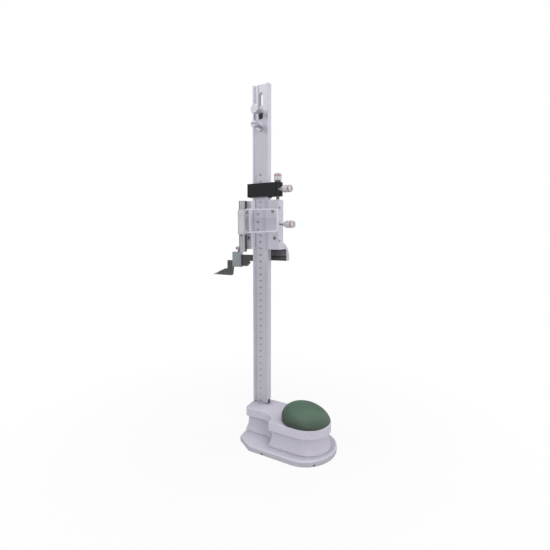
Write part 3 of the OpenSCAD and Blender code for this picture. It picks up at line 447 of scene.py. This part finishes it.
def lens_glass():
    m = new_material("lens_clear", (0.99, 0.99, 1.0), 0.0, 0.0, IOR=1.49, Transmission_Weight=1.0)
    haze = noise(m, coords(m, (0.2, 0.2, 0.2)))
    colour(m, mix_colour(m, haze, (0.975, 0.975, 0.985), (0.995, 0.995, 1.0)))
    let_light_through(m, (0.97, 0.97, 0.98))
    return m


def plastic(name, rgb, rough=0.4):
    m = new_material(name, rgb, 0.0, rough)
    grain = noise(m, coords(m))
    colour(m, mix_colour(m, span(m, grain, 0.3, 0.7), times(rgb, 0.88), rgb))
    roughen(m, span(m, grain, 0.3, 0.7, rough - 0.06, rough + 0.08))
    bump(m, grain, 0.01, 0.4, 0)
    return m


glass = lens_glass()
ink = plastic("scale_ink", (0.02, 0.019, 0.023), 0.6)
paint(["base"], enamel())
paint(["hand_rest"], dome_green())
paint(["beam"], beam_steel())
paint(["main_scale"], metal("scale_steel", (0.54, 0.53, 0.59), 0.5, (1.5, 1.5, 0.1), 0.06, 0.6))
paint(["scale_hanger"], metal("hanger_steel", (0.55, 0.54, 0.6), 0.4, (1, 1, 0.1)))
paint(["scale_thumb_screw", "scale_lock_screw"],
      metal("cone_screws", (0.5, 0.49, 0.54), 0.3, (0.6, 0.2, 0.6), metallic=0.6))
paint(["scale_nuts"], nut_steel())
paint(["slider_body"], slider_steel())
paint(["vernier_plate", "front_plate"],
      metal("plate_steel", (0.56, 0.55, 0.61), 0.5, (1, 1, 0.06), metallic=0.6))
paint(["slider_gib"], metal("gib_steel", (0.5, 0.49, 0.53), 0.45))
paint(["clamp_gib"], metal("clamp_gib_dark", (0.05, 0.045, 0.05), 0.45, metallic=0.6))
paint(["magnifier_rail"], rail_steel())
paint(["rail_spacer"], metal("spacer_black", (0.014, 0.013, 0.015), 0.42, tone=0.3, metallic=0.2))
paint(["magnifier_holder", "magnifier_frame"], clear_plastic())
paint(["magnifier_lens"], glass)
paint(["clamp_block"], black_block())
paint(["jaw"], jaw_oxide())
paint(["scriber"], metal("scriber_dark", (0.13, 0.135, 0.13), 0.4, (0.08, 1, 1), 0.3, 0.8))
paint(["scriber_tip"], metal("carbide", (0.4, 0.39, 0.37), 0.35, (0.3, 1, 1), 0.2))
paint(["scriber_clamp"], metal("clamp_grey", (0.39, 0.43, 0.45), 0.42, (1, 1, 0.1), metallic=0.9))
paint(["hand_rest_screw", "beam_screws", "fine_screw_clip"], metal("screw_steel", (0.45, 0.44, 0.47), 0.35))
paint(["gib_set_screws", "jaw_screws"],
      metal("dark_screws", (0.03, 0.03, 0.032), 0.4, tone=0.3, metallic=0.7))
paint(["plate_screws", "rail_screws"], metal("browned_screws", (0.27, 0.24, 0.23), 0.38, tone=0.25))
paint(["clamp_screw", "lock_screw"], threaded("side_screw_thread", 0, (0.5, 0.49, 0.52), 0.5))
paint(["fine_adjust_screw"], threaded("fine_screw_thread", 2, (0.42, 0.41, 0.44), 1.0))
paint(["scriber_clamp_screw"], threaded("scriber_screw_thread", 2, (0.45, 0.44, 0.47), 0.5))
for knob, axis in (("clamp_knob", 0), ("lock_knob", 0), ("fine_adjust_knob", 2), ("scriber_clamp_knob", 2)):
    paint([knob], fluted(knob, axis))
paint(["clamp_knob_ring", "fine_knob_ring", "lock_knob_ring", "scriber_knob_ring"],
      plastic("red_ring", (0.42, 0.075, 0.08)))


# Graduations and numbers, as thin marks just in front of the face that carries them

INK_GAP = 0.03
DIGIT_WEIGHT = 0.028


def quad(bm, corners):
    bm.faces.new([bm.verts.new(Vector(c) * MM) for c in corners])


def number(bm, words, size, place):
    """A number as flat faces. place turns (across, up) in millimetres into a point."""
    curve = bpy.data.curves.new("digits", "FONT")
    curve.body = words
    curve.size = size
    curve.align_x = "CENTER"
    curve.align_y = "CENTER"
    curve.offset = DIGIT_WEIGHT * size
    curve.resolution_u = 3
    o = bpy.data.objects.new("digits", curve)
    scene.collection.objects.link(o)
    bpy.context.view_layer.update()
    mesh = o.evaluated_get(bpy.context.evaluated_depsgraph_get()).to_mesh()
    verts = [bm.verts.new(Vector(place(v.co.x, v.co.y)) * MM) for v in mesh.vertices]
    for p in mesh.polygons:
        bm.faces.new([verts[i] for i in p.vertices])
    bpy.data.objects.remove(o)
    bpy.data.curves.remove(curve)


def piece(name, bm, body, material):
    bmesh.ops.recalc_face_normals(bm, faces=bm.faces)
    mesh = bpy.data.meshes.new(name)
    bm.to_mesh(mesh)
    bm.free()
    mesh.materials.append(material)
    o = bpy.data.objects.new(name, mesh)
    scene.collection.objects.link(o)
    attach(o, body)
    return o


def main_scale_marks():
    """A mark each millimetre, longer at fives and tens, and the centimetres' numbers."""
    bm = bmesh.new()
    face = low("main_scale").y - INK_GAP
    left = low("main_scale").x + 1.35
    number_x, number_size = -0.1, 4.0
    centimetres = 35
    for i in range(10 * centimetres + 1):
        length = 5.0 if i % 10 == 0 else 3.9 if i % 5 == 0 else 2.9
        half = 0.11 if i % 10 == 0 else 0.08
        z = SCALE_ZERO + i
        quad(bm, [(left, face, z - half), (left + length, face, z - half),
                  (left + length, face, z + half), (left, face, z + half)])
    for k in range(centimetres + 1):
        number(bm, str(k), number_size, lambda x, y: (x + number_x, face, SCALE_ZERO + 10 * k + y))
    return piece("main_scale_marks", bm, "scale", ink)


def vernier_marks():
    """Fifty steps of 0.98 mm on the plate's bevel, and their numbers beside it."""
    bm = bmesh.new()
    flat = low("vernier_plate").y - INK_GAP
    edge, bevel, depth = high("vernier_plate").x, 4.8, 2.65
    number_x, number_size = -16.6, 3.2
    zero, step, steps, half = SCALE_ZERO + READING, 0.98, 50, 0.08

    def slope(t):
        """A place on the bevel, t from its sharp edge to its back."""
        return edge - bevel * t, flat + depth * (1 - t)

    for j in range(steps + 1):
        t = 0.92 if j % 5 == 0 else 0.6
        z = zero + step * j
        (xa, ya), (xb, yb) = slope(0.02), slope(t)
        quad(bm, [(xa, ya, z - half), (xb, yb, z - half), (xb, yb, z + half), (xa, ya, z + half)])
    for k in range(steps // 5 + 1):
        number(bm, str(k % 10), number_size, lambda x, y: (x + number_x, flat, zero + 5 * step * k + y))
    return piece("vernier_marks", bm, "slider", ink)


main_scale_marks()
vernier_marks()


# The lens, with a face smooth enough to see the scale through

LENS_MIDDLE = middle("magnifier_frame").z
FRAME_H = 36.7
FRAME_TAPER = 1.7
LENS_INSET = 2.2
LENS_CORNER_R = 3.0
LENS_THICK = 4.6
LENS_R = 52.0
LENS_ROWS = 72
LENS_SHARP = 0.6


def lens_outline():
    """The rounded outline inside the lens frame, seen from the front, in millimetres."""
    steps = 10
    left, right = low("magnifier_frame").x + LENS_INSET, high("magnifier_frame").x - LENS_INSET
    half = FRAME_H / 2 - LENS_INSET
    short = half - FRAME_TAPER
    corners = [Vector((x, LENS_MIDDLE + h))
               for x, h in ((left, -half), (right, -short), (right, short), (left, half))]
    out = []
    for i, p in enumerate(corners):
        u = (corners[i - 1] - p).normalized()
        w = (corners[(i + 1) % 4] - p).normalized()
        lean = math.acos(max(-1, min(1, u.dot(w)))) / 2
        centre = p + (u + w).normalized() * LENS_CORNER_R / math.sin(lean)
        start = p + u * LENS_CORNER_R / math.tan(lean) - centre
        for k in range(steps + 1):
            turn = Matrix.Rotation((math.pi - 2 * lean) * k / steps, 2)
            out.append(centre + turn @ start)
    return out


def lens():
    """A flat back and a front that is a part of a cylinder across the beam, in level rows."""
    back = high("magnifier_lens").y
    rim = lens_outline()
    bottom, top = min(p.y for p in rim) + 1e-4, max(p.y for p in rim) - 1e-4

    def across(z):
        """Where a level line enters and leaves the outline."""
        xs = [a.x + (b.x - a.x) * (z - a.y) / (b.y - a.y)
              for a, b in zip(rim, rim[1:] + rim[:1]) if (a.y - z) * (b.y - z) <= 0 and a.y != b.y]
        return min(xs), max(xs)

    bm = bmesh.new()
    left, right = [], []
    for k in range(LENS_ROWS + 1):
        z = (bottom + top) / 2 - (top - bottom) / 2 * math.cos(math.pi * k / LENS_ROWS)
        y = back - LENS_THICK + LENS_R - math.sqrt(LENS_R * LENS_R - (z - LENS_MIDDLE) ** 2)
        for x, side in zip(across(z), (left, right)):
            side.append((bm.verts.new(Vector((x, y, z)) * MM), bm.verts.new(Vector((x, back, z)) * MM)))
    for k in range(LENS_ROWS):
        (a, fa), (b, fb), (c, fc), (d, fd) = left[k], right[k], right[k + 1], left[k + 1]
        bm.faces.new([a, b, c, d]).smooth = True
        bm.faces.new([fd, fc, fb, fa])
        bm.faces.new([a, d, fd, fa])
        bm.faces.new([b, fb, fc, c])
    for k in (0, LENS_ROWS):
        (a, fa), (b, fb) = left[k], right[k]
        bm.faces.new([a, fa, fb, b])
    bmesh.ops.recalc_face_normals(bm, faces=bm.faces)
    for e in bm.edges:
        e.smooth = e.calc_face_angle(0) < LENS_SHARP
    lens_piece = piece("lens", bm, "magnifier", glass)
    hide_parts("magnifier_lens")


lens()


# Floor, light and camera

def stage_material():
    """White to the camera, with the object's shadow near it, and plain pale for all other light."""
    m = new_material("floor_white", (0.7, 0.7, 0.7), 0.0, 0.9)
    glow = add(m, "Emission")
    glow.inputs["Strength"].default_value = 1.0
    path = add(m, "LightPath")
    mixer = add(m, "MixShader")
    away = add(m, "VectorMath", operation="LENGTH")
    link(m, coords(m), away.inputs[0])
    near, far, near_white = 150, 420, 0.86
    fade = span(m, away.outputs["Value"], near, far, near_white, 1.0)
    link(m, maths(m, "MULTIPLY", path.outputs["Is Camera Ray"], fade), mixer.inputs[0])
    link(m, bsdf(m).outputs[0], mixer.inputs[1])
    link(m, glow.outputs[0], mixer.inputs[2])
    link(m, mixer.outputs[0], m.node_tree.nodes["Material Output"].inputs["Surface"])
    return m


FLOOR_SIZE = 20
FLOOR_GAP = 0.0002


def floor():
    bm = bmesh.new()
    bmesh.ops.create_grid(bm, x_segments=1, y_segments=1, size=FLOOR_SIZE)
    mesh = bpy.data.meshes.new("floor")
    bm.to_mesh(mesh)
    bm.free()
    mesh.materials.append(stage_material())
    o = bpy.data.objects.new("floor", mesh)
    o.location.z = -FLOOR_GAP
    scene.collection.objects.link(o)


def area_light(name, place, target, size, watts):
    data = bpy.data.lights.new(name, "AREA")
    data.shape = "RECTANGLE"
    data.size, data.size_y = size
    data.energy = watts
    o = bpy.data.objects.new(name, data)
    o.location = place
    o.rotation_mode = "QUATERNION"
    o.rotation_quaternion = (Vector(target) - Vector(place)).to_track_quat("-Z", "Y")
    scene.collection.objects.link(o)


def world_light():
    """Soft grey light for the object, and white where the camera sees past it or through its clear pieces."""
    w = bpy.data.worlds.new("studio")
    scene.world = w
    w.use_nodes = True
    n, l = w.node_tree.nodes, w.node_tree.links
    soft = n["Background"]
    soft.inputs["Color"].default_value = (0.96, 0.95, 1.0, 1)
    soft.inputs["Strength"].default_value = 0.35
    white = n.new("ShaderNodeBackground")
    white.inputs["Color"].default_value = (1, 1, 1, 1)
    white.inputs["Strength"].default_value = 1.0
    path = n.new("ShaderNodeLightPath")
    seen = n.new("ShaderNodeMath")
    seen.operation = "MAXIMUM"
    l.new(path.outputs["Is Camera Ray"], seen.inputs[0])
    l.new(path.outputs["Is Transmission Ray"], seen.inputs[1])
    mixer = n.new("ShaderNodeMixShader")
    l.new(seen.outputs[0], mixer.inputs[0])
    l.new(soft.outputs[0], mixer.inputs[1])
    l.new(white.outputs[0], mixer.inputs[2])
    l.new(mixer.outputs[0], n["World Output"].inputs["Surface"])


def camera():
    """The photograph's camera, fitted to the scale's numbers and the straight edges."""
    place = Vector((0.3333, -0.5103, 0.3064))
    yaw, pitch, roll = 0.5456, 0.0952, 0.0021
    data = bpy.data.cameras.new("camera")
    data.sensor_width = 36
    data.lens = 25.894
    data.clip_start = 0.01
    forward = Vector((-math.sin(yaw) * math.cos(pitch), math.cos(yaw) * math.cos(pitch), -math.sin(pitch)))
    level = Vector((math.cos(yaw), math.sin(yaw), 0))
    up = level.cross(forward)
    right = level * math.cos(roll) + up * math.sin(roll)
    up = right.cross(forward)
    o = bpy.data.objects.new("camera", data)
    o.matrix_world = Matrix((
        (right.x, up.x, -forward.x, place.x),
        (right.y, up.y, -forward.y, place.y),
        (right.z, up.z, -forward.z, place.z),
        (0, 0, 0, 1),
    ))
    scene.collection.objects.link(o)
    scene.camera = o


camera()
floor()
world_light()
area_light("key", (1.6, 1.7, 1.2), (0.02, 0, 0.3), (3.0, 2.6), 20)
area_light("top", (0.1, -0.1, 1.9), (0.02, 0, 0.2), (1.4, 1.4), 20)
area_light("front_right", (1.4, -1.6, 1.2), (0.0, 0, 0.25), (1.6, 1.6), 20)
area_light("front_left", (-1.5, -1.7, 1.5), (0.0, 0, 0.2), (2.0, 1.6), 14)
scene.view_settings.view_transform = "Standard"
